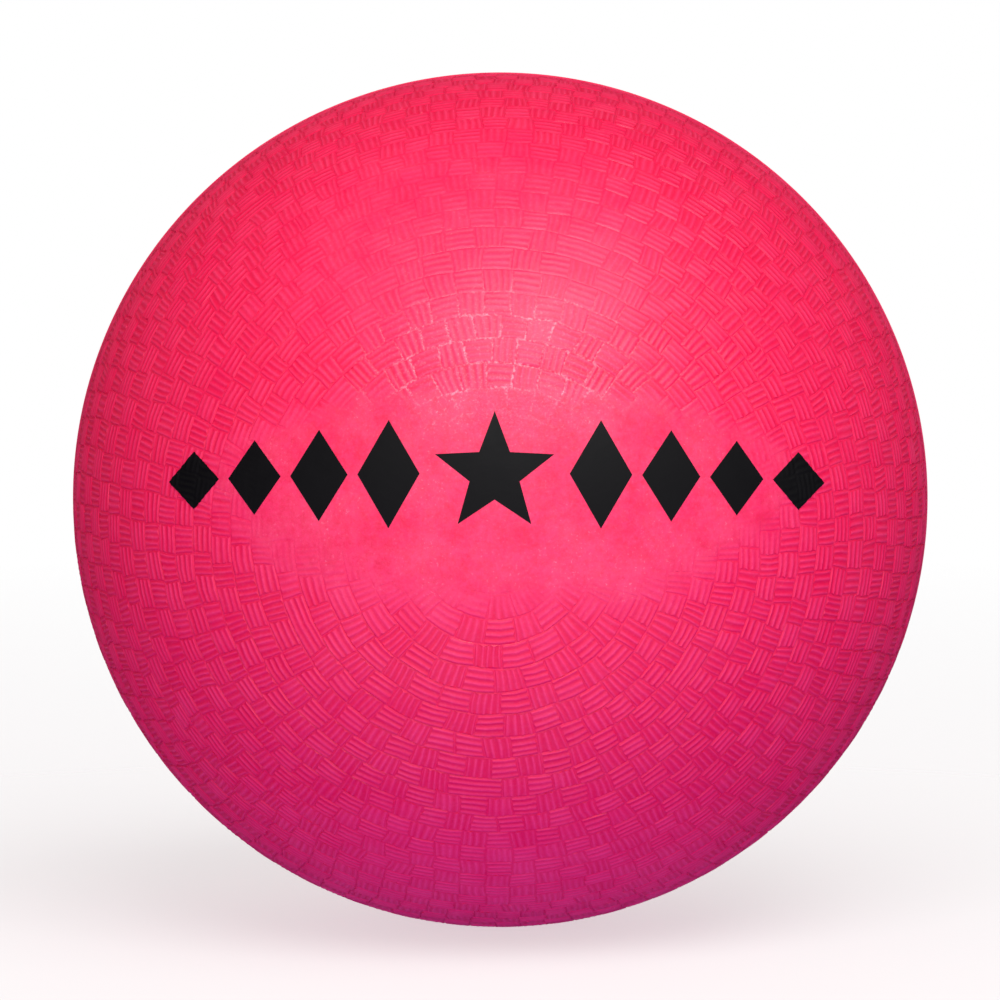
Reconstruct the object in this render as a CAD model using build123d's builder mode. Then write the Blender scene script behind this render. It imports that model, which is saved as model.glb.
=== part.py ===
from build123d import *
from math import cos, radians, sin
import os

# Inflated playground ball, millimetres.
# The origin is the centre of the ball. The mould's axis is Y: the printed front faces -Y,
# the valve is at the back pole on +Y, and the parting line is the circle in the plane Y = 0.

# Ball: a coloured cover ply over an airtight bladder ply, with a low bead at the parting line
BALL_DIAMETER = 216.0
COVER_THICKNESS = 1.6
BLADDER_THICKNESS = 1.0
BEAD_HALF_WIDTH = 0.6
BEAD_HEIGHT = 0.2

BALL_RADIUS = BALL_DIAMETER / 2
COVER_INNER_RADIUS = BALL_RADIUS - COVER_THICKNESS
BLADDER_INNER_RADIUS = COVER_INNER_RADIUS - BLADDER_THICKNESS

# Valve opening in the back of the cover: a shallow dish round the neck of the housing
DISH_RADIUS = 9.0
DISH_DEPTH = 0.6
NECK_RADIUS = 5.0
DISH_FLOOR_Y = BALL_RADIUS - DISH_DEPTH

# Valve housing: a flange bonded inside the bladder and a barrel that points to the centre
FLANGE_RADIUS = 14.0
FLANGE_THICKNESS = 1.2
BARREL_RADIUS = 6.0
BARREL_LENGTH = 17.0
BARREL_END_CHAMFER = 1.0
BARREL_END_Y = BLADDER_INNER_RADIUS - BARREL_LENGTH

# Valve plug: a head in a counterbore, a stem, and a bulb that fills a pocket in the barrel
HEAD_RADIUS = 3.6
HEAD_THICKNESS = 1.2
HEAD_CROWN = 0.5
STEM_RADIUS = 2.5
BULB_RADIUS = 3.4
BULB_HEIGHT = 3.0
TAIL_HEIGHT = 2.0
HEAD_SEAT_Y = DISH_FLOOR_Y - HEAD_THICKNESS
BULB_LOW_Y = BARREL_END_Y + TAIL_HEIGHT

# Passage in the plug for a 2 mm inflating needle. It ends blind at the sealing lips.
PASSAGE_RADIUS = 1.05
PASSAGE_LENGTH = 12.0
LEAD_IN = 0.4
PASSAGE_MOUTH_Y = DISH_FLOOR_Y + HEAD_CROWN
PASSAGE_END_Y = PASSAGE_MOUTH_Y - PASSAGE_LENGTH

# Printed band: a star between two rows of shrinking lozenges. It is drawn on a plane that
# faces forwards and a little upwards, and carried straight on to the cover.
INK_THICKNESS = 0.1
BAND_TILT = 8.9
STAR_POINTS = 5
STAR_RADIUS = 15.0
STAR_INNER_RADIUS = 6.3
LOZENGE_START = 18.0
LOZENGE_GAP = 2.4
LOZENGE_WIDTHS = (15.0, 14.0, 13.0, 12.8)
LOZENGE_HEIGHTS = (26.0, 22.0, 18.0, 14.0)
BAND_PLANE = Plane(
    origin=(0, 0, 0),
    x_dir=(1, 0, 0),
    z_dir=(0, -cos(radians(BAND_TILT)), sin(radians(BAND_TILT))),
)

os.makedirs("parts", exist_ok=True)


def cover_ring():
    """Ring-shaped section of the cover through its axis, with the parting line's bead on it."""
    Circle(BALL_RADIUS)
    Polygon(
        (COVER_INNER_RADIUS, 0),
        (BALL_RADIUS, -BEAD_HALF_WIDTH),
        (BALL_RADIUS + BEAD_HEIGHT, 0),
        (BALL_RADIUS, BEAD_HALF_WIDTH),
        align=None,
    )
    Circle(COVER_INNER_RADIUS, mode=Mode.SUBTRACT)


# Front half of the cover: the quarter of the ring in front of the parting line
with BuildPart() as cover_front_half:
    with BuildSketch(Plane.XY):
        cover_ring()
        Rectangle(BALL_DIAMETER, BALL_DIAMETER, align=(Align.MIN, Align.MAX), mode=Mode.INTERSECT)
    revolve(axis=Axis.Y)

cover_front_half.part.label = "cover_front_half"
export_step(cover_front_half.part, "parts/cover_front_half.step")


# Back half of the cover: the quarter behind the parting line, less the dish and the neck's hole
with BuildPart() as cover_back_half:
    with BuildSketch(Plane.XY):
        cover_ring()
        Rectangle(BALL_DIAMETER, BALL_DIAMETER, align=(Align.MIN, Align.MIN), mode=Mode.INTERSECT)
        Rectangle(2 * NECK_RADIUS, BALL_DIAMETER, align=(Align.CENTER, Align.MIN), mode=Mode.SUBTRACT)
        with Locations((0, DISH_FLOOR_Y)):
            Rectangle(2 * DISH_RADIUS, BALL_RADIUS, align=(Align.CENTER, Align.MIN), mode=Mode.SUBTRACT)
    revolve(axis=Axis.Y)

cover_back_half.part.label = "cover_back_half"
export_step(cover_back_half.part, "parts/cover_back_half.step")


# Bladder: an airtight shell with one round opening, which the valve's barrel passes through
with BuildPart() as bladder:
    with BuildSketch(Plane.XY):
        Circle(COVER_INNER_RADIUS)
        Circle(BLADDER_INNER_RADIUS, mode=Mode.SUBTRACT)
        Rectangle(BALL_RADIUS, BALL_DIAMETER, align=(Align.MIN, Align.CENTER), mode=Mode.INTERSECT)
        Rectangle(2 * BARREL_RADIUS, BALL_DIAMETER, align=(Align.CENTER, Align.MIN), mode=Mode.SUBTRACT)
    revolve(axis=Axis.Y)

bladder.part.label = "bladder"
export_step(bladder.part, "parts/bladder.step")


# Valve housing: flange, barrel and neck turned as one, then bored for the plug
with BuildPart() as valve_housing:
    with BuildSketch(Plane.XY):
        Circle(BLADDER_INNER_RADIUS)
        Circle(BLADDER_INNER_RADIUS - FLANGE_THICKNESS, mode=Mode.SUBTRACT)
        Rectangle(FLANGE_RADIUS, BALL_DIAMETER, align=(Align.MIN, Align.MIN), mode=Mode.INTERSECT)
    with BuildSketch(Plane.XY) as barrel_section:
        with Locations((0, BARREL_END_Y)):
            Rectangle(BARREL_RADIUS, BALL_DIAMETER, align=(Align.MIN, Align.MIN))
        chamfer(barrel_section.vertices().group_by(Axis.Y)[0].sort_by(Axis.X)[-1], BARREL_END_CHAMFER)
        Circle(COVER_INNER_RADIUS, mode=Mode.INTERSECT)
    with BuildSketch(Plane.XY):
        with Locations((0, DISH_FLOOR_Y)):
            Rectangle(NECK_RADIUS, BARREL_LENGTH, align=(Align.MIN, Align.MAX))
    revolve(axis=Axis.Y)
    with BuildSketch(Plane.XY):
        with Locations((0, DISH_FLOOR_Y)):
            Rectangle(STEM_RADIUS, BALL_RADIUS, align=(Align.MIN, Align.MAX))
            Rectangle(HEAD_RADIUS, HEAD_THICKNESS, align=(Align.MIN, Align.MAX))
        with Locations((0, BULB_LOW_Y)):
            Rectangle(BULB_RADIUS, BULB_HEIGHT, align=(Align.MIN, Align.MIN))
    revolve(axis=Axis.Y, mode=Mode.SUBTRACT)

valve_housing.part.label = "valve_housing"
export_step(valve_housing.part, "parts/valve_housing.step")


# Valve plug: crowned head, stem, bulb and tail, with the needle's passage down the middle
with BuildPart() as valve_plug:
    with BuildSketch(Plane.XY):
        with Locations((0, HEAD_SEAT_Y)):
            Rectangle(HEAD_RADIUS, HEAD_THICKNESS, align=(Align.MIN, Align.MIN))
            Rectangle(STEM_RADIUS, HEAD_SEAT_Y - BARREL_END_Y, align=(Align.MIN, Align.MAX))
        with Locations((0, BULB_LOW_Y)):
            Rectangle(BULB_RADIUS, BULB_HEIGHT, align=(Align.MIN, Align.MIN))
        with BuildLine():
            ThreePointArc(
                (-HEAD_RADIUS, DISH_FLOOR_Y),
                (0, PASSAGE_MOUTH_Y),
                (HEAD_RADIUS, DISH_FLOOR_Y),
            )
            Line((HEAD_RADIUS, DISH_FLOOR_Y), (-HEAD_RADIUS, DISH_FLOOR_Y))
        make_face()
        Rectangle(BALL_RADIUS, BALL_DIAMETER, align=(Align.MIN, Align.MIN), mode=Mode.INTERSECT)
        with Locations((0, PASSAGE_END_Y)):
            Rectangle(PASSAGE_RADIUS, BALL_RADIUS, align=(Align.MIN, Align.MIN), mode=Mode.SUBTRACT)
    revolve(axis=Axis.Y)
    mouth = valve_plug.edges().filter_by(GeomType.CIRCLE).sort_by(Axis.Y)[-1]
    chamfer(mouth, LEAD_IN)

valve_plug.part.label = "valve_plug"
export_step(valve_plug.part, "parts/valve_plug.step")


def star():
    """Star on the middle of the band, with one point up."""
    corners = []
    for step in range(2 * STAR_POINTS):
        radius = STAR_RADIUS if step % 2 == 0 else STAR_INNER_RADIUS
        angle = radians(90 + step * 180 / STAR_POINTS)
        corners.append((radius * cos(angle), radius * sin(angle)))
    Polygon(*corners, align=None)


def lozenge(centre, width, height):
    """Upright lozenge whose middle is at centre on the band's long axis."""
    Polygon(
        (centre - width / 2, 0),
        (centre, height / 2),
        (centre + width / 2, 0),
        (centre, -height / 2),
        align=None,
    )


# Printed mark: the outlines become prisms from the ball's centre outwards, and the thin ink
# film over the cover keeps only what lies in it
with BuildPart() as print_mark:
    with BuildSketch(BAND_PLANE):
        star()
        near_edge = LOZENGE_START
        for width, height in zip(LOZENGE_WIDTHS, LOZENGE_HEIGHTS):
            for side in (-1, 1):
                lozenge(side * (near_edge + width / 2), width, height)
            near_edge += width + LOZENGE_GAP
    extrude(amount=BALL_DIAMETER)
    with BuildSketch(Plane.XY):
        Circle(BALL_RADIUS + INK_THICKNESS)
        Circle(BALL_RADIUS, mode=Mode.SUBTRACT)
        Rectangle(BALL_DIAMETER, 2 * BALL_DIAMETER, align=(Align.MIN, Align.CENTER), mode=Mode.INTERSECT)
    revolve(axis=Axis.Y, mode=Mode.INTERSECT)

print_mark.part.label = "print_mark"
export_step(print_mark.part, "parts/print_mark.step")
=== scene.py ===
import math
import random

import bpy
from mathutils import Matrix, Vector, noise
from mathutils.bvhtree import BVHTree


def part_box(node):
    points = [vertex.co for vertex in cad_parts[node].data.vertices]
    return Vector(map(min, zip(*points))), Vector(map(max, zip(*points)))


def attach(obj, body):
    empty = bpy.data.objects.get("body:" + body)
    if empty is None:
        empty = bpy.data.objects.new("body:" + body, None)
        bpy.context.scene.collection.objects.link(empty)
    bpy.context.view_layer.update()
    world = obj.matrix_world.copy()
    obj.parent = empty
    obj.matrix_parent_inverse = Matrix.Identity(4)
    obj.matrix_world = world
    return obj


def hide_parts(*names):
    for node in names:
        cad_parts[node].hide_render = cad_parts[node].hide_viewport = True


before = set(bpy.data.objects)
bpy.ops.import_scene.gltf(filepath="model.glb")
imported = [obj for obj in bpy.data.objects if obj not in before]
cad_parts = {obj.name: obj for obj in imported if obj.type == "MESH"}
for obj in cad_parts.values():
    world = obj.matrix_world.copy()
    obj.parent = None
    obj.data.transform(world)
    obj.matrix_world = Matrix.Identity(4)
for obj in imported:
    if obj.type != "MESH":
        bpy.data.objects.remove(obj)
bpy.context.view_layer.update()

MM = 0.001
QUARTER = math.pi / 2
TURN = 2 * math.pi

# ---------------------------------------------------------------------------
# Sizes. The ball's own sizes come from the parts in model.glb; the moulded detail is listed here.
# ---------------------------------------------------------------------------

BALL_RADIUS = -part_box("cover_front_half")[0].y
BEAD_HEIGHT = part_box("cover_front_half")[1].x - BALL_RADIUS
INNER_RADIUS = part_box("bladder")[1].x
DISH_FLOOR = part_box("valve_housing")[1].y

# Weave: rings of cells round the mould's axis. Across cells have ribs that run along the ring,
# the others, lengthwise cells, have ribs that run from one side of the ring to the other.
RING_COUNT = 27
RING_STEP = QUARTER / RING_COUNT

# Cells: their usual length, how much longer across cells are, how far their ends wander, how
# often two across cells run together, how far a new cell strays from an even spread, and how
# the lengths are evened out after that
CELL_LENGTH = 6.4 * MM
ACROSS_STRETCH = 1.08
CELL_JITTER = 0.45 * MM
LONG_CELL_CHANCE = 0.3
NEW_CELL_SHIFT = 0.3
RELAX_ROUNDS = 30
RELAX_SHARE = 0.3

# Ribs: their least number, spacing and depth, the share of the depth that their flanks reach,
# and how much the depth, the spacing and the ends vary
MIN_RIBS = 3
RIB_PITCH = 1.6 * MM
RIB_DEPTH = 0.35 * MM
RIB_FLANK = 0.6
RIB_WEAR = 0.3
RIB_SHAKE = 0.09
RIB_END_JITTER = 0.2 * MM

# Grooves between the cells: their depth, the width of their floor, and that of a cell's shoulder
GROOVE_DEPTH = 0.38 * MM
GROOVE_FLOOR = 0.12 * MM
SHOULDER = 0.4 * MM

# How far below the highest crests the ribs' ends, a cell's outer ribs, a whole cell and a
# lengthwise cell may lie, and the share of that which takes on the painted groove shade
END_SINK = 0.04 * MM
OUTER_RIB_SINK = 0.03 * MM
CELL_SINK = 0.06 * MM
LENGTHWISE_SINK = 0.03 * MM
SINK_SHADE_SHARE = 0.5

# Unevenness of the layout: how far a slow drift and a quick wobble move it, and their lengths
WARP_REACH = 0.4 * MM
WARP_LENGTH = 17 * MM
WOBBLE_REACH = 0.55 * MM
WOBBLE_LENGTH = 6.5 * MM

# Where the weave ends, the skin rises from the last groove to a plain strip over this width
PLAIN_RISE = 0.3 * MM

# Parting line: a plain strip beside a low bead
SEAM_PLAIN = 0.9 * MM
BEAD_HALF_WIDTH = 0.5 * MM
BEAD_CREST_HALF_WIDTH = 0.12 * MM
SEAM_POINTS = 288
SHELL_POINTS = 72
SHELL_STEPS = 14
CAP_POINTS = 8

# Valve patch on the back: a plain round patch with a low rim, and the dish in its middle. The
# rim's section is given in shares of its half width and of its height.
PATCH_RINGS = 2
HOLE_RADIUS = 5.0 * MM
DISH_RADIUS = 9.0 * MM
DISH_ROUNDING = 0.2 * MM
RIM_RADIUS = 11.4 * MM
RIM_HALF_WIDTH = 0.7 * MM
RIM_HEIGHT = 0.12 * MM
RIM_SECTION = ((-1.0, 0.0), (-0.6, 0.75), (0.0, 1.0), (0.6, 0.75), (1.0, 0.0))
PATCH_POINTS = 96

# Printed band, drawn in a plane that faces forwards and a little upwards: a star between two
# rows of shrinking lozenges
BAND_TILT = math.radians(8.9)
BAND_RIGHT = Vector((1, 0, 0))
BAND_OUT = Vector((0, -math.cos(BAND_TILT), math.sin(BAND_TILT)))
BAND_UP = BAND_RIGHT.cross(-BAND_OUT)
STAR_POINTS = 5
STAR_RADIUS = 15.0 * MM
STAR_INNER_RADIUS = 6.3 * MM
LOZENGE_START = 18.0 * MM
LOZENGE_GAP = 2.4 * MM
LOZENGE_WIDTHS = (15.0 * MM, 14.0 * MM, 13.0 * MM, 12.8 * MM)
LOZENGE_HEIGHTS = (26.0 * MM, 22.0 * MM, 18.0 * MM, 14.0 * MM)

# Ink film: its height over a plain skin, how much more it has over a full weave, how deep its
# edge goes, the size of its triangles, and how finely its places are told apart
INK_LIFT = 0.07 * MM
BRIDGE_LIFT = 0.14 * MM
INK_SKIRT = 0.25 * MM
INK_GRID = 0.4 * MM
INK_PLACES_PER_METRE = 1e7

# Plain panel behind the print: inside the inner outline there is no weave, outside the outer one
# there is all of it. Two noises make the edge ragged, each a share of its size and a fineness.
PANEL_CENTRE = 2 * MM
PANEL_INNER = {"half_width": 61 * MM, "up": 18.5 * MM, "down": 25 * MM}
PANEL_OUTER = {"half_width": 80 * MM, "up": 25 * MM, "down": 43 * MM}
PANEL_RAGGED = ((0.09, 14), (0.08, 45))

# Beside the parting line the weave is shallower
SEAM_DEPTH = 0.6
SEAM_FADE = 34 * MM

# The weave is worn above the panel and on the underside: where the middle of each place is,
# how far it reaches, and the share of the depth that is left there. The wear is full up to the
# first share of the reach and ends at the second.
WORN_PLACES = (
    {"right": -5 * MM, "up": 56 * MM, "half_width": 62 * MM, "half_height": 42 * MM, "depth": 0.45},
    {"right": 0.0, "up": -110 * MM, "half_width": 140 * MM, "half_height": 40 * MM, "depth": 0.65},
)
WORN_FADE = (0.4, 1.1)

# Bake layout: the middle and radius of the outside's round island and of the inside's, and how
# far out in them the loops go that would otherwise fall on another loop's place
OUTSIDE_ISLAND = (Vector((0.5, 0.5)), 0.47)
INSIDE_ISLAND = (Vector((0.09, 0.09)), 0.08)
RIM_CHART_ANGLE = 1.02 * QUARTER
HOLE_CHART_SHARES = (0.8, 0.9)
INK_CHART_SCALE = 5.8

# Edges sharper than this stay sharp
SHARP_ANGLE = math.radians(65)

random.seed(7)
noise.seed_set(7)


def smooth(low, high, value):
    """0 below low, 1 above high, and a soft step between."""
    share = min(1.0, max(0.0, (value - low) / (high - low)))
    return share * share * (3 - 2 * share)


# ---------------------------------------------------------------------------
# Skin: the vertices and triangles of one piece while it is being made
# ---------------------------------------------------------------------------


class Skin:
    """Each vertex has three values and a place in each of two bake islands.

    groove is 0 on a crest and 1 on the floor between cells, gutter is 1 on that floor only, and
    weave is the share of the full depth.
    """

    def __init__(self):
        self.points = []
        self.groove = []
        self.gutter = []
        self.weave = []
        self.charts = []
        self.faces = []
        self.face_island = []
        self.island = 0

    def add(self, point, groove=0.0, gutter=0.0, weave=0.0, charts=((0.0, 0.0), (0.0, 0.0))):
        """New vertex. Returns its number."""
        self.points.append(tuple(point))
        self.groove.append(groove)
        self.gutter.append(gutter)
        self.weave.append(weave)
        self.charts.append(charts)
        return len(self.points) - 1

    def face(self, *corners):
        self.faces.append(corners)
        self.face_island.append(self.island)

    def zip_lines(self, first, second, first_at, second_at):
        """Triangles between two rows of vertices, whose places along the rows are given."""
        i = j = 0
        while i < len(first) - 1 or j < len(second) - 1:
            if j == len(second) - 1:
                step_first = True
            elif i == len(first) - 1:
                step_first = False
            else:
                step_first = first_at[i] + first_at[i + 1] <= second_at[j] + second_at[j + 1]
            if step_first:
                self.face(first[i], second[j], first[i + 1])
                i += 1
            else:
                self.face(first[i], second[j], second[j + 1])
                j += 1

    def zip_loops(self, first, second):
        """Triangles between two closed loops, each (vertices, rising angles)."""
        first_points, first_at = first
        second_points, second_at = second
        start = first_at[0]
        gaps = [abs((angle - start + math.pi) % TURN - math.pi) for angle in second_at]
        shift = gaps.index(min(gaps))
        second_points = second_points[shift:] + second_points[:shift]
        second_at = second_at[shift:] + second_at[:shift]
        offset = (second_at[0] - start + math.pi) % TURN - math.pi
        self.zip_lines(
            first_points + first_points[:1],
            second_points + second_points[:1],
            [(angle - start) % TURN for angle in first_at] + [TURN],
            [offset + (angle - second_at[0]) % TURN for angle in second_at] + [offset + TURN],
        )

    def build(self, name, flip=False):
        """Mesh object with the values as attributes and the islands as its bake layout."""
        mesh = bpy.data.meshes.new(name)
        turn = -1 if flip else 1
        mesh.from_pydata(self.points, [], [face[::turn] for face in self.faces])
        for label in ("groove", "gutter", "weave"):
            attribute = mesh.attributes.new(label, "FLOAT", "POINT")
            attribute.data.foreach_set("value", getattr(self, label))
        layer = mesh.uv_layers.new(name="OFBake")
        for polygon, island in zip(mesh.polygons, self.face_island):
            for loop in polygon.loop_indices:
                layer.data[loop].uv = self.charts[mesh.loops[loop].vertex_index][island]
        mesh.shade_smooth()
        mesh.set_sharp_from_angle(angle=SHARP_ANGLE)
        piece = bpy.data.objects.new(name, mesh)
        bpy.context.scene.collection.objects.link(piece)
        even = piece.modifiers.new("even shading", "WEIGHTED_NORMAL")
        even.keep_sharp = True
        return piece


# ---------------------------------------------------------------------------
# Where the weave is, and how deep
# ---------------------------------------------------------------------------


def panel_distance(outline, right, up):
    """1 on the outline, under 1 inside it."""
    height = outline["up"] if up > 0 else outline["down"]
    return math.hypot((right - PANEL_CENTRE) / outline["half_width"], up / height)


def worn_depth(right, up):
    """Share of the weave's depth that is left where the ball is worn."""
    left = 1.0
    for place in WORN_PLACES:
        across = (right - place["right"]) / place["half_width"]
        away = math.hypot(across, (up - place["up"]) / place["half_height"])
        left *= place["depth"] + (1 - place["depth"]) * smooth(*WORN_FADE, away)
    return left


def weave_strength(direction):
    """0 on the plain panel behind the print, 1 where the weave has its full depth."""
    near_seam = smooth(0, 1, abs(direction.y) * BALL_RADIUS / SEAM_FADE)
    depth = SEAM_DEPTH + (1 - SEAM_DEPTH) * near_seam
    if direction.y >= 0:
        return depth
    ragged = sum(share * noise.noise(direction * waves) for share, waves in PANEL_RAGGED)
    right = BALL_RADIUS * direction.dot(BAND_RIGHT)
    up = BALL_RADIUS * direction.dot(BAND_UP)
    inner = panel_distance(PANEL_INNER, right, up) - 1 + ragged
    outer = 1 - panel_distance(PANEL_OUTER, right, up) - ragged
    depth *= worn_depth(right, up)
    if inner <= 0:
        return 0.0
    if outer <= 0:
        return depth
    return depth * smooth(0, 1, inner / (inner + outer))


def warped(direction, theta):
    """Direction shifted a little, so that rows and cells are as uneven as hand-cut ones."""
    near_pole = smooth(PATCH_RINGS * RING_STEP, (PATCH_RINGS + 1) * RING_STEP, theta)
    near_seam = smooth(0, RING_STEP, QUARTER - theta)
    drift = noise.noise_vector(direction * (BALL_RADIUS / WARP_LENGTH)) * WARP_REACH
    wobble = noise.noise_vector(direction * (BALL_RADIUS / WOBBLE_LENGTH)) * WOBBLE_REACH
    return (direction + (drift + wobble) * (near_pole * near_seam / BALL_RADIUS)).normalized()


# ---------------------------------------------------------------------------
# One half of the cover
# ---------------------------------------------------------------------------


class Half:
    """A cover half. side is -1 for the front half and 1 for the back half."""

    def __init__(self, side):
        self.side = side
        self.skin = Skin()
        self.last = None

    def direction(self, theta, phi):
        """Unit vector at an angle theta from this half's pole and phi round it."""
        ring = math.sin(theta)
        return Vector((ring * math.cos(phi), self.side * math.cos(theta), ring * math.sin(phi)))

    def charts(self, theta, phi, chart_theta):
        """Places in the bake layout's two islands."""
        turn = Vector((math.cos(phi), math.sin(phi)))
        places = ((OUTSIDE_ISLAND, chart_theta), (INSIDE_ISLAND, theta))
        return [tuple(middle + turn * (radius * at / QUARTER)) for (middle, radius), at in places]

    def woven(self, theta, phi, depth, lower=0.0):
        """Vertex of the woven skin, at a depth under the crests where the weave is full."""
        bent = warped(self.direction(theta, phi), theta)
        strength = weave_strength(bent)
        radius = BALL_RADIUS - min(depth + lower, GROOVE_DEPTH) * strength
        # sunk cells count partly as groove, so they take on part of the painted groove shade
        groove = min(depth + SINK_SHADE_SHARE * lower, GROOVE_DEPTH) / GROOVE_DEPTH
        gutter = 1.0 if depth == GROOVE_DEPTH else 0.0
        charts = self.charts(theta, phi, theta)
        return self.skin.add(bent * radius, groove, gutter, strength, charts)

    def plain_loop(self, count, theta, radius, chart_theta=None):
        """Closed loop of plain vertices round the pole."""
        chart_theta = theta if chart_theta is None else chart_theta
        angles = [TURN * index / count for index in range(count)]
        vertices = []
        for phi in angles:
            charts = self.charts(theta, phi, chart_theta)
            vertices.append(self.skin.add(self.direction(theta, phi) * radius, charts=charts))
        return vertices, angles

    def go_to(self, loop):
        """Strip of triangles from the last loop to this one."""
        self.skin.zip_loops(loop, self.last)
        self.last = loop

    def flat_loop(self, radius, height, chart_radius):
        """Loop at a distance from the axis and a height along it, both in metres."""
        theta, chart_theta = math.atan2(radius, height), chart_radius / BALL_RADIUS
        return self.plain_loop(PATCH_POINTS, theta, math.hypot(radius, height), chart_theta)

    def surface_loop(self, radius, rise=0.0):
        """Loop on the ball's surface, at a distance from the axis."""
        return self.plain_loop(PATCH_POINTS, math.asin(radius / BALL_RADIUS), BALL_RADIUS + rise)

    def close(self, loop, radius, outside):
        """Fan of triangles between a loop and the pole."""
        tip = self.skin.add(self.direction(0, 0) * radius, charts=self.charts(0, 0, 0))
        ring = loop[0]
        for one, two in zip(ring, ring[1:] + ring[:1]):
            self.skin.face(*((one, tip, two) if outside else (tip, one, two)))


class Cell:
    """One cell of a ring. Its ends slant, so each end has an angle at both sides of the ring."""

    def __init__(self, start, end, across):
        self.start = start
        self.end = end
        self.across = across

    def phi(self, along, over):
        """Angle at a share of the cell's length and a share of the ring's width."""
        start = self.start[0] + over * (self.start[1] - self.start[0])
        end = self.end[0] + over * (self.end[1] - self.end[0])
        return start + along * (end - start)


class Rows:
    """Lays out the cells ring by ring, so that across and lengthwise cells make a chequered weave.

    Each ring starts as the last one with the two kinds swapped. The extra cells that a longer
    ring needs go in between, which leaves a few doubled cells, as on the real mould.
    """

    def __init__(self):
        self.starts = []
        self.across = []

    def lengths(self):
        ends = self.starts[1:] + [self.starts[0] + TURN]
        return [end - start for start, end in zip(self.starts, ends)]

    def split(self, index, places, kinds):
        """Replaces one cell by several, cut at these shares of its length."""
        start, length = self.starts[index], self.lengths()[index]
        self.starts[index : index + 1] = [start + place * length for place in places]
        self.across[index : index + 1] = kinds

    def relax(self, rounds):
        """Evens out the lengths between neighbours."""
        for _ in range(rounds):
            weights = [ACROSS_STRETCH if across else 1.0 for across in self.across]
            even = [length / weight for length, weight in zip(self.lengths(), weights)]
            self.starts = [
                start + RELAX_SHARE * (even[i] - even[i - 1]) for i, start in enumerate(self.starts)
            ]

    def grow(self, count):
        """Swaps the kinds and adds cells until there are this many."""
        if not self.starts:
            self.starts = [-QUARTER + TURN * (i - 0.5) / count for i in range(count)]
            self.across = [i % 2 == 0 for i in range(count)]
            return
        self.across = [not across for across in self.across]
        doubled = [i for i, across in enumerate(self.across) if across == self.across[i - 1]]
        random.shuffle(doubled)
        for index in sorted(doubled[: count - len(self.starts)], reverse=True):
            kind = self.across[index]
            self.split(index, (0.0, 0.5), [not kind, kind])
        extra = count - len(self.starts)
        stride = len(self.starts) / max(1, extra)
        offset = random.random()
        shifts = [random.uniform(-NEW_CELL_SHIFT, NEW_CELL_SHIFT) for _ in range(extra)]
        spots = [int((offset + i + shift) * stride) for i, shift in enumerate(shifts)]
        for index in sorted({spot % len(self.starts) for spot in spots}, reverse=True):
            self.split(index, (0.0, 0.5), [self.across[index]] * 2)
        self.relax(RELAX_ROUNDS)

    def cells(self, theta):
        """Cells of the ring, with the gaps between them left out."""
        reach = math.sin(theta) * BALL_RADIUS
        shake, gap = CELL_JITTER / reach, GROOVE_FLOOR / 2 / reach
        edges = [[start + random.uniform(-shake, shake) for _ in range(2)] for start in self.starts]
        edges.append([edge + TURN for edge in edges[0]])
        merged = []
        for index, across in enumerate(self.across):
            end = [edge - gap for edge in edges[index + 1]]
            if across and merged and merged[-1].across and random.random() < LONG_CELL_CHANCE:
                merged[-1].end = end
            else:
                merged.append(Cell([edge + gap for edge in edges[index]], end, across))
        return merged


def rib_profile(length):
    """Section across a cell's ribs: places from 0 to 1 along the length, with depths."""
    edge = SHOULDER / length
    ribs = max(MIN_RIBS, round((length - 2 * SHOULDER) / RIB_PITCH) + 1)
    gap = (1 - 2 * edge) / (ribs - 1)
    crests = [edge + (rib + random.uniform(-RIB_SHAKE, RIB_SHAKE)) * gap for rib in range(ribs)]
    worn = RIB_DEPTH * random.uniform(1 - RIB_WEAR, 1.0)
    section = [(0.0, GROOVE_DEPTH)]
    for rib, crest in enumerate(crests):
        section.append((crest, OUTER_RIB_SINK if rib in (0, ribs - 1) else 0.0))
        if rib < ribs - 1:
            valley = worn * random.uniform(1 - RIB_WEAR, 1.0)
            for share, depth in ((0.25, RIB_FLANK), (0.5, 1.0), (0.75, RIB_FLANK)):
                section.append((crest + share * (crests[rib + 1] - crest), depth * valley))
    section.append((1.0, GROOVE_DEPTH))
    return section


def rib_ends(section, reach):
    """How far the ribs' ends stand off from straight, one value for each place in the section."""
    return [random.uniform(-RIB_END_JITTER, RIB_END_JITTER) / reach for _ in section]


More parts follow.
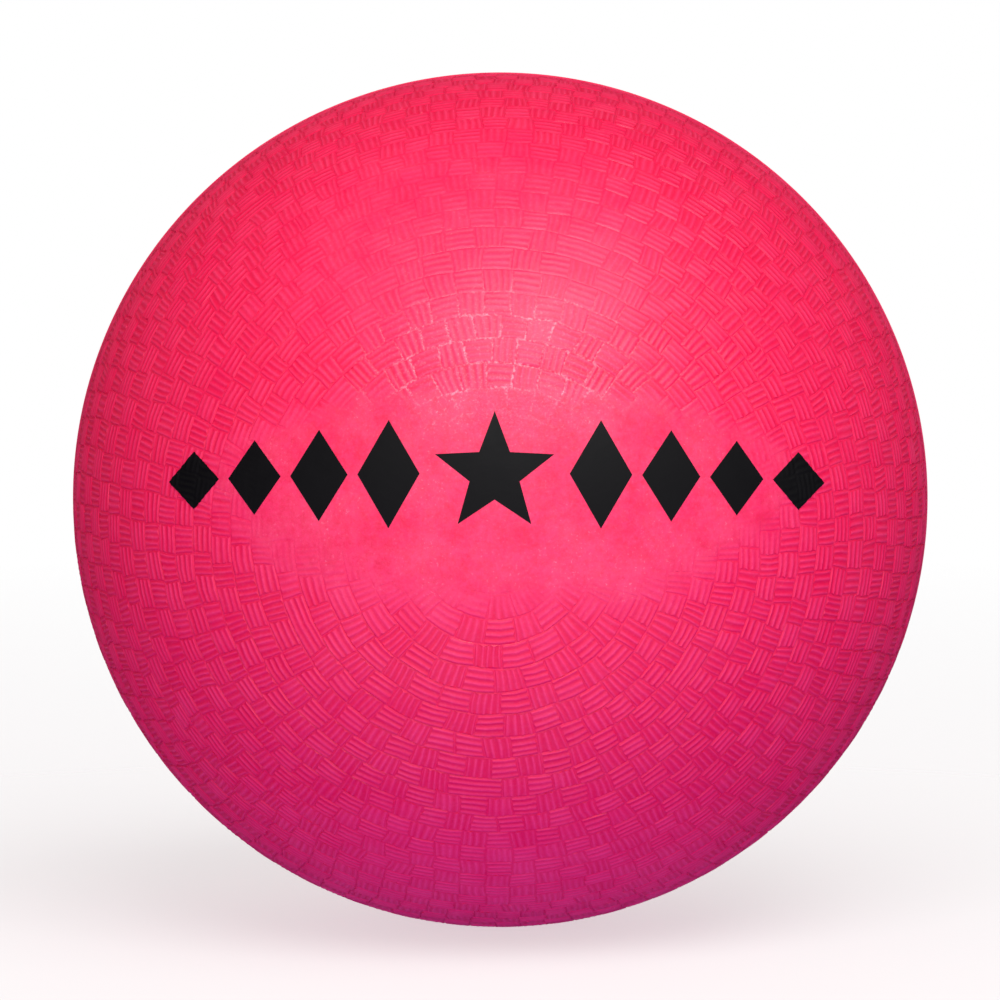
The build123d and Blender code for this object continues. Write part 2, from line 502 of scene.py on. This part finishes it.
def weave_ring(half, rows, ring):
    """One ring of cells. Returns its inner and outer loops."""
    low = ring * RING_STEP + GROOVE_FLOOR / BALL_RADIUS / 2
    high = (ring + 1) * RING_STEP - GROOVE_FLOOR / BALL_RADIUS / 2
    if ring == RING_COUNT - 1:
        high = QUARTER - SEAM_PLAIN / BALL_RADIUS
    middle = (low + high) / 2
    reach = math.sin(middle) * BALL_RADIUS
    width = (high - low) * BALL_RADIUS
    side_at = (0.0, SHOULDER / width, 0.5, 1 - SHOULDER / width, 1.0)
    rows.grow(round(TURN * reach / CELL_LENGTH))
    near_loop, far_loop, near_angles, far_angles, edges = [], [], [], [], []

    def point(cell, along, over, depth=GROOVE_DEPTH, lower=0.0):
        return half.woven(low + over * (high - low), cell.phi(along, over), depth, lower)

    for cell in rows.cells(middle):
        length = (cell.phi(1.0, 0.5) - cell.phi(0.0, 0.5)) * reach
        cell_at = (0.0, SHOULDER / length, 0.5, 1 - SHOULDER / length, 1.0)
        section = rib_profile(width if cell.across else length)
        spots = [at for at, _ in section]
        sink = random.uniform(0.0, CELL_SINK) + (0.0 if cell.across else LENGTHWISE_SINK)
        first = [point(cell, 0.0, over) for over in side_at]
        last = [point(cell, 1.0, over) for over in side_at]
        if cell.across:
            lines = [first]
            for number in (1, 2, 3):
                lower = sink if number == 2 else sink + END_SINK
                ends = [0.0] * len(section) if number == 2 else rib_ends(section, length)
                row = [
                    point(cell, cell_at[number] + end, at, depth, lower)
                    for (at, depth), end in zip(section, ends)
                ]
                lines.append(row)
            lines.append(last)
            places = [side_at, spots, spots, spots, side_at]
            for one in range(4):
                half.skin.zip_lines(lines[one], lines[one + 1], places[one], places[one + 1])
            near_loop += [line[0] for line in lines]
            far_loop += [line[-1] for line in lines]
        else:
            near = [first[0], *[point(cell, along, 0.0) for along in cell_at[1:4]], last[0]]
            far = [first[-1], *[point(cell, along, 1.0) for along in cell_at[1:4]], last[-1]]
            lines = [near]
            for number in (1, 2, 3):
                lower = sink if number == 2 else sink + END_SINK
                ribs = section[1:-1]
                ends = [0.0] * len(ribs) if number == 2 else rib_ends(ribs, width)
                row = [
                    point(cell, at, side_at[number] + end, depth, lower)
                    for (at, depth), end in zip(ribs, ends)
                ]
                lines.append([first[number], *row, last[number]])
            lines.append(far)
            places = [cell_at, spots, spots, spots, cell_at]
            for one in range(4):
                half.skin.zip_lines(lines[one + 1], lines[one], places[one + 1], places[one])
            near_loop += near
            far_loop += far
        near_angles += [cell.phi(along, 0.0) for along in cell_at]
        far_angles += [cell.phi(along, 1.0) for along in cell_at]
        edges.append((first, last))
    for index, (first, _) in enumerate(edges):
        half.skin.zip_lines(edges[index - 1][1], first, side_at, side_at)
    return (near_loop, near_angles), (far_loop, far_angles)


def weave_rings(half, first_ring):
    """All rings from the first one to the seam. Returns the innermost loop."""
    innermost = None
    rows = Rows()
    for ring in range(first_ring, RING_COUNT):
        near, far = weave_ring(half, rows, ring)
        if innermost is None:
            innermost = near
        else:
            half.skin.zip_loops(near, half.last)
        half.last = far
    return innermost


def seam_and_shell(half, hole_theta):
    """Parting line, the rim where the halves meet, and the shell's inner side."""
    crest = BALL_RADIUS + BEAD_HEIGHT
    for distance, radius in (
        (SEAM_PLAIN - PLAIN_RISE, BALL_RADIUS),
        (BEAD_HALF_WIDTH, BALL_RADIUS),
        (BEAD_CREST_HALF_WIDTH, crest),
        (0.0, crest),
    ):
        half.go_to(half.plain_loop(SEAM_POINTS, QUARTER - distance / BALL_RADIUS, radius))
    half.go_to(half.plain_loop(SHELL_POINTS, QUARTER, INNER_RADIUS, RIM_CHART_ANGLE))
    half.skin.island = 1
    for step in range(1, SHELL_STEPS):
        theta = QUARTER + (hole_theta - QUARTER) * step / SHELL_STEPS
        half.go_to(half.plain_loop(SHELL_POINTS, theta, INNER_RADIUS))


def front_cover():
    """Front half: weave, plain panel, seam and shell, with a plain cap at the pole."""
    half = Half(-1)
    innermost = weave_rings(half, 1)
    seam_and_shell(half, 0.0)
    half.close(half.last, INNER_RADIUS, outside=False)
    half.skin.island = 0
    half.last = half.plain_loop(CAP_POINTS, RING_STEP / 3, BALL_RADIUS)
    half.close(half.last, BALL_RADIUS, outside=True)
    half.go_to(half.plain_loop(2 * CAP_POINTS, RING_STEP * 2 / 3, BALL_RADIUS))
    half.go_to(innermost)
    return half.skin.build("cover_front", flip=True)


def back_cover():
    """Back half: weave, seam and shell, with the valve patch at the pole."""
    half = Half(1)
    innermost = weave_rings(half, PATCH_RINGS)
    hole_theta = math.asin(HOLE_RADIUS / INNER_RADIUS)
    inner_chart, outer_chart = (share * HOLE_RADIUS for share in HOLE_CHART_SHARES)
    seam_and_shell(half, hole_theta)
    half.go_to(half.plain_loop(PATCH_POINTS, hole_theta, INNER_RADIUS, inner_chart / BALL_RADIUS))
    half.skin.island = 0
    rounding = DISH_ROUNDING
    half.go_to(half.flat_loop(HOLE_RADIUS, DISH_FLOOR - rounding, outer_chart))
    half.go_to(half.flat_loop(HOLE_RADIUS + rounding, DISH_FLOOR, HOLE_RADIUS + rounding))
    half.go_to(half.flat_loop(DISH_RADIUS - 2 * rounding, DISH_FLOOR, DISH_RADIUS - 2 * rounding))
    half.go_to(half.flat_loop(DISH_RADIUS - rounding / 2, DISH_FLOOR + rounding / 2, DISH_RADIUS))
    half.go_to(half.surface_loop(DISH_RADIUS + rounding, -rounding / 8))
    half.go_to(half.surface_loop(DISH_RADIUS + 3 * rounding))
    for offset, rise in RIM_SECTION:
        half.go_to(half.surface_loop(RIM_RADIUS + offset * RIM_HALF_WIDTH, rise * RIM_HEIGHT))
    patch_edge = PATCH_RINGS * RING_STEP - PLAIN_RISE / BALL_RADIUS
    half.go_to(half.plain_loop(PATCH_POINTS, patch_edge, BALL_RADIUS))
    half.go_to(innermost)
    return half.skin.build("cover_back")


# ---------------------------------------------------------------------------
# Printed mark: a thin film that follows the cover's relief
# ---------------------------------------------------------------------------


class Film:
    """Ink film over the cover, drawn in the band's plane and carried on to the relief."""

    def __init__(self, cover):
        mesh = cover.data
        points = [vertex.co for vertex in mesh.vertices]
        triangles = [tuple(polygon.vertices) for polygon in mesh.polygons]
        self.tree = BVHTree.FromPolygons(points, triangles)
        self.skin = Skin()
        self.known = {}

    def drop(self, right, up, sink=0.0):
        """Vertex on the relief under a point of the band's plane."""
        key = (round(right * INK_PLACES_PER_METRE), round(up * INK_PLACES_PER_METRE), sink)
        if key not in self.known:
            out = math.sqrt(BALL_RADIUS**2 - right**2 - up**2)
            direction = (BAND_RIGHT * right + BAND_UP * up + BAND_OUT * out).normalized()
            hit = self.tree.ray_cast(direction * (BALL_RADIUS + MM), -direction)[0]
            over = INK_LIFT + BRIDGE_LIFT * weave_strength(direction)
            point = hit + direction * (over - sink)
            chart = (0.5 + right * INK_CHART_SCALE, 0.5 + up * INK_CHART_SCALE)
            self.known[key] = self.skin.add(point, charts=(chart, chart))
        return self.known[key]

    def triangle(self, corners):
        """Triangle of the drawing, divided finely enough to follow the ribs."""
        one, two, three = (Vector(corner) for corner in corners)
        longest = max((two - one).length, (three - two).length, (one - three).length)
        count = max(2, math.ceil(longest / INK_GRID))

        def at(i, j):
            spot = one + (two - one) * (i / count) + (three - one) * (j / count)
            return self.drop(spot.x, spot.y)

        for i in range(count):
            for j in range(count - i):
                self.skin.face(at(i, j), at(i + 1, j), at(i, j + 1))
                if i + j < count - 1:
                    self.skin.face(at(i + 1, j), at(i + 1, j + 1), at(i, j + 1))

    def edge(self, start, end, count):
        """Side wall of the film under one edge of the outline."""
        start, end = Vector(start), Vector(end)
        for step in range(count):
            one = start + (end - start) * (step / count)
            two = start + (end - start) * ((step + 1) / count)
            top_one, top_two = self.drop(one.x, one.y), self.drop(two.x, two.y)
            foot_one = self.drop(one.x, one.y, INK_SKIRT)
            foot_two = self.drop(two.x, two.y, INK_SKIRT)
            self.skin.face(top_one, foot_one, foot_two)
            self.skin.face(top_one, foot_two, top_two)

    def fan(self, centre, outline):
        """Filled outline, cut into triangles round its centre, with its side walls."""
        centre = Vector(centre)
        for one, two in zip(outline, outline[1:] + outline[:1]):
            one, two = Vector(one), Vector(two)
            self.triangle((centre, one, two))
            longest = max((one - centre).length, (two - one).length, (centre - two).length)
            self.edge(one, two, max(2, math.ceil(longest / INK_GRID)))


def star_outline():
    """Corners of the star, anticlockwise from its top point."""
    corners = []
    for step in range(2 * STAR_POINTS):
        radius = STAR_RADIUS if step % 2 == 0 else STAR_INNER_RADIUS
        angle = QUARTER + step * math.pi / STAR_POINTS
        corners.append((radius * math.cos(angle), radius * math.sin(angle)))
    return corners


def lozenge_outline(centre, width, height):
    """Corners of an upright lozenge, anticlockwise from its right corner."""
    half_width, half_height = width / 2, height / 2
    return [
        (centre + half_width, 0.0),
        (centre, half_height),
        (centre - half_width, 0.0),
        (centre, -half_height),
    ]


def printed_mark(cover):
    """Star between two rows of shrinking lozenges."""
    film = Film(cover)
    film.fan((0.0, 0.0), star_outline())
    near_edge = LOZENGE_START
    for width, height in zip(LOZENGE_WIDTHS, LOZENGE_HEIGHTS):
        for side in (-1, 1):
            centre = side * (near_edge + width / 2)
            film.fan((centre, 0.0), lozenge_outline(centre, width, height))
        near_edge += width + LOZENGE_GAP
    return film.skin.build("printed_mark")


# ---------------------------------------------------------------------------
# Materials
# ---------------------------------------------------------------------------

# The cover's rubber: two shades of its crests, the painted shade of its grooves, what stains and
# smudges turn it to, and the painted shade that darkens the plain panel
CREST_RED = (0.89, 0.030, 0.127, 1)
CREST_PINK = (0.93, 0.040, 0.141, 1)
GROOVE_SHADE_RED = (0.77, 0.002, 0.056, 1)
STAIN_RED = (0.80, 0.010, 0.082, 1)
SMUDGE_RED = (0.76, 0.008, 0.072, 1)
PANEL_SHADE_TINT = (0.90, 0.42, 0.56, 1)

# Pale dust, also the colour of the painted glints, and the place above the panel where painted
# glints fill the grooves
PALE_DUST_AND_GLINT = (0.95, 0.38, 0.46, 1)
GLINT_PLACE = (2 * MM, -99 * MM, 43 * MM)
GLINT_REACH = (40 * MM, 40 * MM, 22 * MM)

# Black ink and its speckle
INK_BLACK = (0.003, 0.003, 0.003, 1)
INK_GREY = (0.012, 0.012, 0.012, 1)


class Nodes:
    """Short calls for making a node tree."""

    def __init__(self, name):
        self.material = bpy.data.materials.new(name)
        self.material.use_nodes = True
        self.tree = self.material.node_tree
        self.shader = self.tree.nodes["Principled BSDF"]

    @classmethod
    def of_tree(cls, tree):
        """The same calls for an emptied tree that isn't a material's."""
        nodes = cls.__new__(cls)
        tree.nodes.clear()
        nodes.tree = tree
        return nodes

    def new(self, kind, inputs=None, **settings):
        """Node with these inputs, each a plain value or another node's output."""
        node = self.tree.nodes.new(kind)
        for key, value in settings.items():
            setattr(node, key, value)
        for key, value in (inputs or {}).items():
            self.feed(node.inputs[key], value)
        return node

    def feed(self, socket, value):
        """Links an output to a socket, or sets the socket to a plain value."""
        if isinstance(value, bpy.types.NodeSocket):
            self.tree.links.new(value, socket)
        else:
            socket.default_value = value

    def place(self):
        return self.new("ShaderNodeTexCoord").outputs["Object"]

    def value(self, name):
        """One of the mesh's own values, groove, gutter or weave."""
        return self.new("ShaderNodeAttribute", attribute_name=name).outputs["Fac"]

    def noise(self, length, detail=2.0, roughness=0.5):
        """Noise whose features are about this long, in metres, from 0 to 1."""
        inputs = {"Vector": self.place(), "Scale": 1 / length}
        inputs |= {"Detail": detail, "Roughness": roughness}
        return self.new("ShaderNodeTexNoise", inputs).outputs["Fac"]

    def math(self, operation, *values):
        node = self.new("ShaderNodeMath", operation=operation)
        for socket, value in zip(node.inputs, values):
            self.feed(socket, value)
        return node.outputs[0]

    def product(self, *factors):
        """All the factors multiplied together."""
        total = factors[0]
        for factor in factors[1:]:
            total = self.math("MULTIPLY", total, factor)
        return total

    def vector(self, operation, *values):
        node = self.new("ShaderNodeVectorMath", operation=operation)
        for socket, value in zip(node.inputs, values):
            self.feed(socket, value)
        return node.outputs["Value" if operation in ("LENGTH", "DOT_PRODUCT") else "Vector"]

    def remap(self, value, low, high, to_low=0.0, to_high=1.0):
        """Straight run from one range to the other, held at its ends."""
        inputs = {"Value": value, "From Min": low, "From Max": high}
        inputs |= {"To Min": to_low, "To Max": to_high}
        return self.new("ShaderNodeMapRange", inputs).outputs["Result"]

    def mix(self, share, one, two, blend="MIX"):
        node = self.new("ShaderNodeMix", data_type="RGBA", blend_type=blend)
        self.feed(node.inputs["Factor"], share)
        self.feed(node.inputs["A"], one)
        self.feed(node.inputs["B"], two)
        return node.outputs["Result"]

    def bump(self, height, distance, strength, under=None):
        inputs = {"Height": height, "Distance": distance, "Strength": strength}
        if under is not None:
            inputs["Normal"] = under
        return self.new("ShaderNodeBump", inputs).outputs["Normal"]

    def finish(self, **sockets):
        """Feeds the shader's sockets and returns the material."""
        for key, value in sockets.items():
            self.feed(self.shader.inputs[key.replace("_", " ")], value)
        return self.material


def coloured(n, groove, weave, floor):
    """The rubber's colour: mottled, stained and smudged, paler on the crests, with painted shade in
    the grooves and on the plain panel.
    """
    mottle = n.remap(n.noise(30 * MM, 5.0, 0.65), 0.3, 0.7)
    colour = n.mix(mottle, CREST_RED, CREST_PINK)
    # painted shade: the colour darkens down into the grooves, a little less on their floors
    painted_groove_shade = n.remap(n.product(groove, weave), 0.02, 0.62)
    colour = n.mix(n.math("SUBTRACT", painted_groove_shade, n.product(floor, 0.35)), colour, GROOVE_SHADE_RED)
    stain = n.remap(n.noise(9 * MM, 4.0, 0.65), 0.52, 0.34)
    colour = n.mix(n.product(stain, 0.4), colour, STAIN_RED)
    smudge = n.remap(n.noise(1.4 * MM, 6.0, 0.85), 0.5, 0.33)
    colour = n.mix(n.product(smudge, 0.7), colour, SMUDGE_RED)
    # painted shade: the plain panel's colour darkened, in blotches, where the front light falls
    # most
    panel = n.remap(weave, 0.0, 0.6, 1.0, 0.0)
    blotches = n.remap(n.noise(2.6 * MM, 6.0, 0.8), 0.36, 0.6, 1.0, 0.3)
    return n.mix(n.product(panel, blotches), colour, PANEL_SHADE_TINT, "MULTIPLY")


def dusted(n, colour, weave):
    """A thin film of dust and some specks, mostly where there is no weave."""
    fine = n.remap(n.noise(0.9 * MM, 5.0, 0.75), 0.5, 0.72)
    colour = n.mix(n.product(fine, 0.05), colour, PALE_DUST_AND_GLINT)
    patches = n.remap(n.noise(12 * MM, 5.0, 0.65), 0.4, 0.72)
    film = n.product(patches, n.remap(weave, 0.0, 0.7, 1.0, 0.25))
    colour = n.mix(n.product(film, 0.08), colour, PALE_DUST_AND_GLINT)
    specks = n.product(n.remap(n.noise(0.7 * MM, 3.0, 0.6), 0.62, 0.7), film)
    return n.mix(n.product(specks, 0.35), colour, PALE_DUST_AND_GLINT)


def painted_groove_glints(n, colour, gutter, weave):
    """Dust caught in the grooves of the dusty place, with loose grains round it."""
    offset = n.vector("SUBTRACT", n.place(), GLINT_PLACE)
    away = n.vector("LENGTH", n.vector("DIVIDE", offset, GLINT_REACH))
    near_glint_place = n.remap(away, 1.0, 0.5)
    uneven = n.remap(n.noise(6 * MM, 2.0), 0.38, 0.6, 0.08, 1.0)
    # Painted glints: pale colour in the groove floors where the key light's highlight falls above
    # the panel, with loose pale specks round them.
    glinting = n.product(near_glint_place, uneven, n.remap(n.noise(0.7 * MM, 3.0, 0.6), 0.42, 0.6))
    grooves = n.product(n.remap(gutter, 0.1, 0.7), n.remap(weave, 0.0, 0.3, 0.3, 1.0))
    # painted glints: pale colour in the groove floors and loose specks under the key light's
    # highlight
    colour = n.mix(n.product(glinting, grooves, 0.52), colour, PALE_DUST_AND_GLINT)
    grains = n.remap(n.noise(0.7 * MM, 4.0, 0.75), 0.53, 0.66)
    return n.mix(n.product(near_glint_place, grains, 0.16), colour, PALE_DUST_AND_GLINT)


def cover_rubber():
    """Pink-red moulded rubber: satin, a little shinier on the groove floors, with fine grain, and
    painted shade and painted glints in its colour.
    """
    n = Nodes("cover_rubber")
    groove, gutter, weave = n.value("groove"), n.value("gutter"), n.value("weave")
    floor = n.product(n.remap(gutter, 0.6, 0.95), n.remap(weave, 0.1, 0.4))
    colour = dusted(n, coloured(n, groove, weave, floor), weave)
    # painted glints in the groove floors above the panel, under the key light's highlight
    colour = painted_groove_glints(n, colour, gutter, weave)
    roughness = n.remap(n.noise(9 * MM, 3.0), 0.3, 0.7, 0.37, 0.45)
    roughness = n.math("ADD", roughness, n.product(floor, -0.12))
    coarse = n.bump(n.noise(3.5 * MM, 3.0, 0.6), 0.12 * MM, 0.5)
    normal = n.bump(n.noise(0.6 * MM, 4.0, 0.65), 0.07 * MM, 0.7, coarse)
    return n.finish(Base_Color=colour, Roughness=roughness, Normal=normal, Specular_IOR_Level=0.4)


def ink():
    """Matte black printing ink with a faint speckle."""
    n = Nodes("print_ink")
    speck = n.remap(n.noise(0.5 * MM, 4.0, 0.7), 0.62, 0.75)
    colour = n.mix(n.product(speck, 0.25), INK_BLACK, INK_GREY)
    roughness = n.remap(n.noise(4 * MM, 3.0), 0.3, 0.7, 0.5, 0.6)
    normal = n.bump(n.noise(0.6 * MM, 3.0), 0.02 * MM, 0.4)
    return n.finish(Base_Color=colour, Roughness=roughness, Normal=normal, Specular_IOR_Level=0.2)


def black_rubber(name, shade):
    """Smooth dark rubber of the valve and bladder, with paler dust in its grain."""
    n = Nodes(name)
    dust = n.remap(n.noise(1.5 * MM, 5.0, 0.7), 0.5, 0.8)
    colour = n.mix(n.product(dust, 0.4), (*[shade] * 3, 1), (*[3 * shade] * 3, 1))
    roughness = n.remap(n.noise(3 * MM, 2.0), 0.3, 0.7, 0.42, 0.55)
    normal = n.bump(n.noise(0.4 * MM, 2.0), 0.02 * MM, 0.5)
    return n.finish(Base_Color=colour, Roughness=roughness, Normal=normal)


def dress(piece, material):
    """Gives a piece one material in place of any it has."""
    piece.data.materials.clear()
    piece.data.materials.append(material)


# ---------------------------------------------------------------------------
# Pieces
# ---------------------------------------------------------------------------

cover_front = front_cover()
cover_back = back_cover()
mark = printed_mark(cover_front)

rubber = cover_rubber()
dress(cover_front, rubber)
dress(cover_back, rubber)
dress(mark, ink())
dress(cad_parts["bladder"], black_rubber("bladder_rubber", 0.02))
dress(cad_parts["valve_housing"], black_rubber("housing_rubber", 0.014))
dress(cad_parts["valve_plug"], black_rubber("plug_rubber", 0.008))

for piece, node, slot in (
    (cover_front, "cover_front_half", "cover_rubber"),
    (cover_back, "cover_back_half", "cover_rubber"),
    (mark, "print_mark", "print_ink"),
):
    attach(piece, "root")
    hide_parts(node)

# ---------------------------------------------------------------------------
# Stage: floor, light and camera
# ---------------------------------------------------------------------------

CAMERA_DISTANCE = 2.0
CAMERA_AZIMUTH = 0.7
CAMERA_ELEVATION = 5.5
BALL_SHARE_OF_FRAME = 0.856
SENSOR = 36.0

# Floor: how far out it has faded away, and how clear it is under the ball
FLOOR_RADIUS = 3.0
FLOOR_POINTS = 96
FLOOR_FADE_RADIUS = 0.3 * FLOOR_RADIUS
FLOOR_CLEAR_SHARE = 0.58

# Softboxes above and in front: azimuth, elevation, disk size in metres and watts
SOFTBOX_DISTANCE = 2.0
SOFTBOXES = {"key": (8, 46, 1.4, 22.5), "side": (50, 54, 1.3, 7)}

# Soft light from all round: where it comes from, how tightly, and its colour. The front and the
# back are nearly white, the light from below is blue, and the sides are weaker and reddish.
STUDIO_LIGHT = (
    ((0, -1, 0), 1.0, (1.28, 1.22, 1.26)),
    ((0, 1, 0), 2.0, (1.25, 1.15, 1.20)),
    ((0, 0, 1), 1.0, (0.14, 0.12, 0.10)),
    ((0, 0, -1), 1.0, (0.15, 0.0, 1.35)),
    ((-0.95, 0, 0.3), 3.0, (0.36, 0.06, 0.12)),
    ((0.87, -0.3, -0.4), 2.0, (0.13, 0.02, 0.12)),
)

# Soft light that the sheen mirrors, from the front and a little above and to the right
MIRRORED_LIGHT = (((0.15, -0.95, 0.2), 1.5, (0.5, 0.5, 0.5)),)


def around(azimuth, elevation, distance):
    """Point round the ball's centre, from angles in degrees. Azimuth 0 is in front, on -Y."""
    azimuth, elevation = math.radians(azimuth), math.radians(elevation)
    level = math.cos(elevation) * distance
    height = math.sin(elevation) * distance
    return Vector((math.sin(azimuth) * level, -math.cos(azimuth) * level, height))


def aim(thing, place):
    """Puts a camera or light in its place, facing the ball's centre."""
    thing.location = place
    thing.rotation_euler = (-place).to_track_quat("-Z", "Y").to_euler()
    bpy.context.scene.collection.objects.link(thing)


def add_camera():
    """Camera whose lens makes the ball's outline the photo's share of the picture."""
    camera = bpy.data.objects.new("camera", bpy.data.cameras.new("camera"))
    outline = math.asin((BALL_RADIUS + BEAD_HEIGHT) / CAMERA_DISTANCE)
    camera.data.sensor_width = SENSOR
    camera.data.lens = SENSOR / 2 * BALL_SHARE_OF_FRAME / math.tan(outline)
    aim(camera, around(CAMERA_AZIMUTH, CAMERA_ELEVATION, CAMERA_DISTANCE))
    bpy.context.scene.camera = camera


def add_softboxes():
    for name, (azimuth, elevation, size, watts) in SOFTBOXES.items():
        light = bpy.data.lights.new(name, "AREA")
        light.shape = "DISK"
        light.size = size
        light.energy = watts
        aim(bpy.data.objects.new(name, light), around(azimuth, elevation, SOFTBOX_DISTANCE))


def add_floor():
    """Pale round floor that fades out into the white surroundings."""
    angles = [TURN * index / FLOOR_POINTS for index in range(FLOOR_POINTS)]
    rim = [(FLOOR_RADIUS * math.cos(a), FLOOR_RADIUS * math.sin(a), 0.0) for a in angles]
    mesh = bpy.data.meshes.new("floor")
    mesh.from_pydata(rim, [], [tuple(range(FLOOR_POINTS))])
    floor = bpy.data.objects.new("floor", mesh)
    floor.location.z = -BALL_RADIUS - BEAD_HEIGHT
    bpy.context.scene.collection.objects.link(floor)
    n = Nodes("floor")
    n.finish(Base_Color=(0.9, 0.9, 0.9, 1), Roughness=0.9, Specular_IOR_Level=0.0)
    clear = n.new("ShaderNodeBsdfTransparent").outputs[0]
    distance = n.vector("LENGTH", n.place())
    fade = n.remap(distance, 0.0, FLOOR_FADE_RADIUS, FLOOR_CLEAR_SHARE, 1.0)
    mixed = n.new("ShaderNodeMixShader", {0: fade, 1: n.shader.outputs[0], 2: clear}).outputs[0]
    n.feed(n.tree.nodes["Material Output"].inputs["Surface"], mixed)
    dress(floor, n.material)
    floor.visible_diffuse = False
    floor.visible_glossy = False


def light_from(n, directions):
    """Colour of the surroundings: soft patches of light from these directions, added up."""
    where = n.new("ShaderNodeTexCoord").outputs["Generated"]
    total = n.new("ShaderNodeCombineColor").outputs[0]
    for direction, power, colour in directions:
        facing = n.math("MAXIMUM", n.vector("DOT_PRODUCT", where, direction), 0.0)
        share = n.math("POWER", facing, power)
        scaled = n.new("ShaderNodeVectorMath", {0: colour, "Scale": share}, operation="SCALE")
        total = n.vector("ADD", total, scaled.outputs[0])
    return total


def add_world():
    """White for the camera, the studio's light for matt surfaces, and a sheen of its own."""
    world = bpy.data.worlds.new("studio")
    bpy.context.scene.world = world
    world.use_nodes = True
    n = Nodes.of_tree(world.node_tree)
    spread = n.new("ShaderNodeBackground", {"Color": light_from(n, STUDIO_LIGHT)}).outputs[0]
    mirrored = n.new("ShaderNodeBackground", {"Color": light_from(n, MIRRORED_LIGHT)}).outputs[0]
    seen = n.new("ShaderNodeBackground", {"Color": (1, 1, 1, 1)}).outputs[0]
    paths = n.new("ShaderNodeLightPath")
    glossy, camera = paths.outputs["Is Glossy Ray"], paths.outputs["Is Camera Ray"]
    lit = n.new("ShaderNodeMixShader", {0: glossy, 1: spread, 2: mirrored}).outputs[0]
    both = n.new("ShaderNodeMixShader", {0: camera, 1: lit, 2: seen}).outputs[0]
    n.new("ShaderNodeOutputWorld", {"Surface": both})


add_camera()
add_floor()
add_world()
add_softboxes()
bpy.context.scene.view_settings.view_transform = "Standard"
